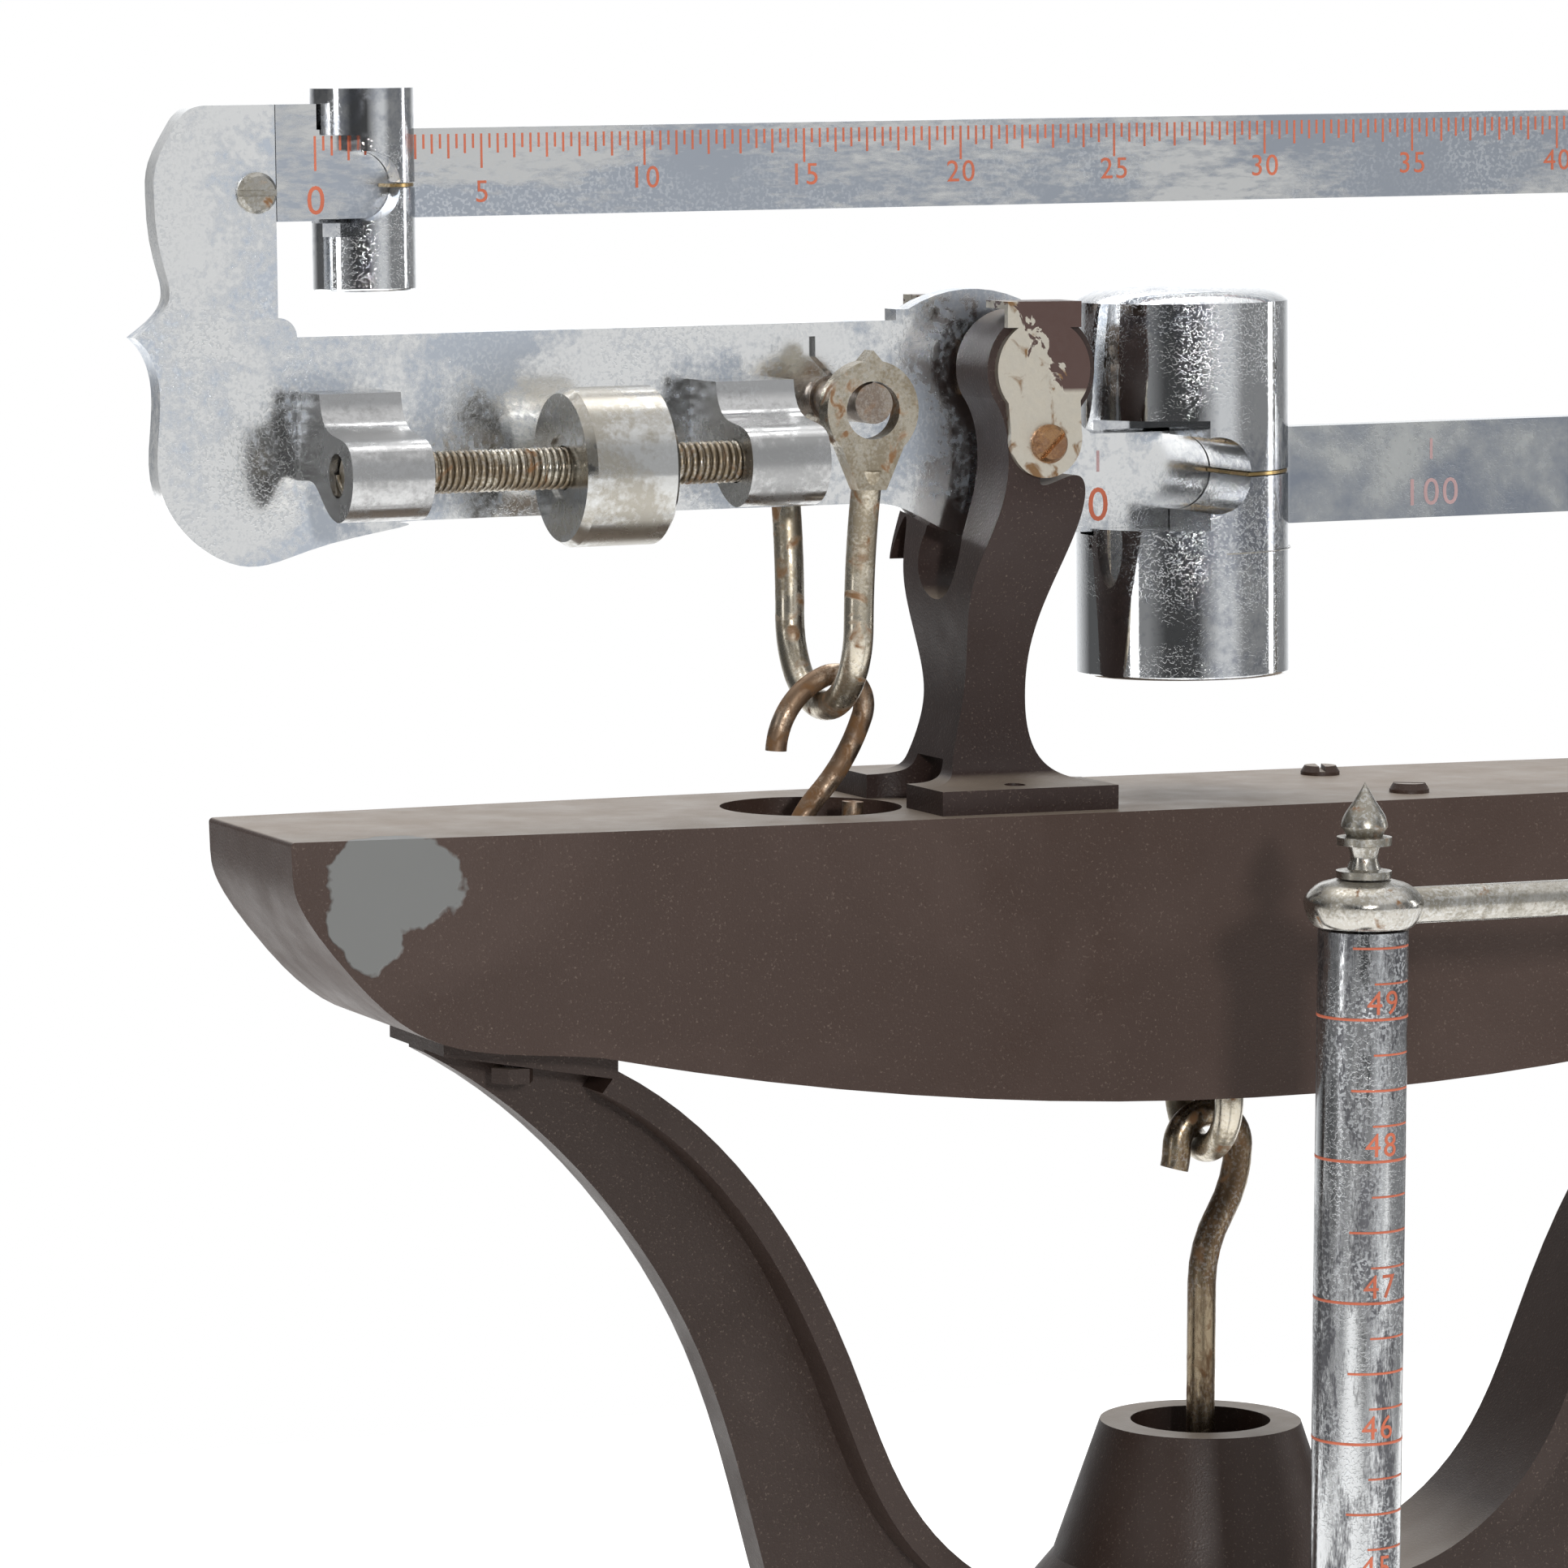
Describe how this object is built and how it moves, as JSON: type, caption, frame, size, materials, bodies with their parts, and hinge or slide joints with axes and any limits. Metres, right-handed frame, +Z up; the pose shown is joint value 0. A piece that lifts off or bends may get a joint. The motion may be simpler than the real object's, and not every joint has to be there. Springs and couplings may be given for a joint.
{
  "type": "physician beam scale",
  "caption": "Upright person scale: platform on levers, column, two-bar balance beam with sliding poises, and a telescoping height rod.",
  "frame": {"origin": "floor level, under the middle of the overall footprint; the column axis is 180 mm behind it", "axes": "+Z up; -Y towards the person side, where the platform and the graduations face; +X towards the beam's pointer end"},
  "size_m": [0.4253, 0.508, 1.4903],
  "materials": {
    "cast_paint": "satin dark brown wrinkle enamel, chipped at the edges",
    "enamel": "satin enamel",
    "beam_plate": "worn bluish nickel plate",
    "poise": "bright nickel plate",
    "nickel": "dull nickel plate with rust specks",
    "steel": "worn steel with brown rust film",
    "bright_steel": "ground steel",
    "brass": "tarnished brass",
    "rod_plate": "speckled chrome plate",
    "iron": "painted cast iron",
    "rubber": "matt black ribbed rubber"
  },
  "bodies": {
    "frame": {"base": "cast_paint", "levelling_feet": "steel", "wheel_axle": "steel", "axle_caps": "steel", "column": "enamel", "yoke": "cast_paint", "yoke_bolts": "steel", "shelf": "cast_paint", "fulcrum_stand": "beam_plate", "fulcrum_bearings": "bright_steel", "bearing_caps": "nickel", "cap_screws": "brass", "stand_bolts": "steel", "lever_hanger": "steel", "hanger_screws": "steel", "beam_guide": "nickel", "guide_screws": "nickel", "upper_rod_clamp": "cast_paint", "lower_rod_clamp": "cast_paint", "clamp_screws": "steel", "height_tube": "rod_plate"},
    "beam": {"beam": "beam_plate", "upper_bar": "beam_plate", "bar_screws": "nickel", "load_knife": "steel", "main_knife": "steel", "balance_brackets": "beam_plate", "balance_screw": "bright_steel"},
    "small_poise": {"small_poise": "poise", "small_poise_leaf": "brass"},
    "big_poise": {"big_poise": "poise", "big_poise_leaf": "brass"},
    "ball_nut": {"ball_bush": "bright_steel"},
    "ball": {"balance_ball": "poise"},
    "load_loop": {"load_loop": "nickel"},
    "shelf_lever": {"shelf_lever": "iron", "hook_pin": "steel", "lever_knives": "steel"},
    "s_hook": {"s_hook": "steel"},
    "steelyard_loop": {"steelyard_loop": "steel"},
    "steelyard_rod": {"steelyard_rod": "steel", "rod_nut": "steel"},
    "long_lever": {"long_lever": "iron", "long_lever_pins": "steel"},
    "short_lever": {"short_lever": "iron", "short_lever_pins": "steel"},
    "lever_link": {"lever_link": "steel"},
    "platform": {"platform": "cast_paint", "platform_mat": "rubber"},
    "height_rod": {"height_inner_tube": "rod_plate", "finial": "nickel"},
    "head_arm": {"rod_cap": "nickel", "head_arm": "nickel"},
    "wheel_left": {"wheel_left": "rubber"},
    "wheel_right": {"wheel_right": "rubber"}
  },
  "joints": [
    {"name": "beam_rock", "type": "hinge", "parent": "frame", "child": "beam", "pos_m": [-0.0463, 0.18, 1.4354], "axis": [0, -1, 0], "range_deg": [-2.1, 0.25]},
    {"name": "small_poise_slide", "type": "slide", "parent": "beam", "child": "small_poise", "axis": [0.9999, 0, 0.0157], "range_m": [0, 0.3175]},
    {"name": "big_poise_slide", "type": "slide", "parent": "beam", "child": "big_poise", "axis": [0.9999, 0, 0.0157], "range_m": [0, 0.1428]},
    {"name": "ball_travel", "type": "slide", "parent": "beam", "child": "ball_nut", "axis": [0.9999, 0, 0.0157], "range_m": [-0.00636, 0.00636]},
    {"name": "ball_spin", "type": "hinge", "parent": "ball_nut", "child": "ball", "pos_m": [-0.13328, 0.157, 1.42053], "axis": [0.9999, 0, 0.0157], "range_deg": [-1800, 1800]},
    {"name": "load_loop_swing", "type": "hinge", "parent": "beam", "child": "load_loop", "pos_m": [-0.0802, 0.18, 1.43487], "axis": [0, -1, 0], "range_deg": [-0.26, 2.14]},
    {"name": "shelf_lever_rock", "type": "hinge", "parent": "frame", "child": "shelf_lever", "pos_m": [0.034, 0.18, 1.339], "axis": [0, -1, 0], "range_deg": [-0.63418, 0.0755]},
    {"name": "hook_swing", "type": "hinge", "parent": "shelf_lever", "child": "s_hook", "pos_m": [-0.0805, 0.18, 1.339], "axis": [0, -1, 0], "range_deg": [-0.0755, 0.63418]},
    {"name": "steelyard_loop_swing", "type": "hinge", "parent": "shelf_lever", "child": "steelyard_loop", "pos_m": [0, 0.18, 1.339], "axis": [0, -1, 0], "range_deg": [-0.0755, 0.63418]},
    {"name": "steelyard_rod_lift", "type": "slide", "parent": "frame", "child": "steelyard_rod", "axis": [0, 0, 1], "range_m": [-0.0000448, 0.0003763]},
    {"name": "long_lever_rock", "type": "hinge", "parent": "frame", "child": "long_lever", "pos_m": [0, -0.205, 0.037], "axis": [1, 0, 0], "range_deg": [-0.00667, 0.05601]},
    {"name": "short_lever_rock", "type": "hinge", "parent": "frame", "child": "short_lever", "pos_m": [0, 0.095, 0.037], "axis": [1, 0, 0], "range_deg": [-0.07841, 0.00933]},
    {"name": "link_swing", "type": "hinge", "parent": "long_lever", "child": "lever_link", "pos_m": [0, -0.03, 0.0443], "axis": [1, 0, 0], "range_deg": [-0.05601, 0.00667]},
    {"name": "platform_lift", "type": "slide", "parent": "frame", "child": "platform", "axis": [0, 0, 1], "range_m": [-0.0000029, 0.0000244]},
    {"name": "height_slide", "type": "slide", "parent": "frame", "child": "height_rod", "axis": [0, 0, 1], "range_m": [0, 0.7112]},
    {"name": "head_arm_swivel", "type": "hinge", "parent": "height_rod", "child": "head_arm", "pos_m": [-0.0168, 0.086, 1.345], "axis": [0, 0, 1], "range_deg": [-180, 0]},
    {"name": "wheel_left_roll", "type": "hinge", "parent": "frame", "child": "wheel_left", "pos_m": [-0.155, 0.236, 0.024], "axis": [1, 0, 0], "continuous": true},
    {"name": "wheel_right_roll", "type": "hinge", "parent": "frame", "child": "wheel_right", "pos_m": [0.155, 0.236, 0.024], "axis": [1, 0, 0], "continuous": true}
  ],
  "couplings": [
    {"joint": "ball_travel", "follows": "ball_spin", "m_per_rad": 0.00020213},
    {"joint": "load_loop_swing", "follows": "beam_rock", "ratio": -1},
    {"joint": "shelf_lever_rock", "follows": "beam_rock", "ratio": 0.29607},
    {"joint": "hook_swing", "follows": "beam_rock", "ratio": -0.29607},
    {"joint": "steelyard_loop_swing", "follows": "beam_rock", "ratio": -0.29607},
    {"joint": "steelyard_rod_lift", "follows": "beam_rock", "m_per_rad": -0.010066},
    {"joint": "long_lever_rock", "follows": "beam_rock", "ratio": -0.026146},
    {"joint": "short_lever_rock", "follows": "beam_rock", "ratio": 0.036605},
    {"joint": "link_swing", "follows": "beam_rock", "ratio": 0.026146},
    {"joint": "platform_lift", "follows": "beam_rock", "m_per_rad": -0.00065366}
  ]
}
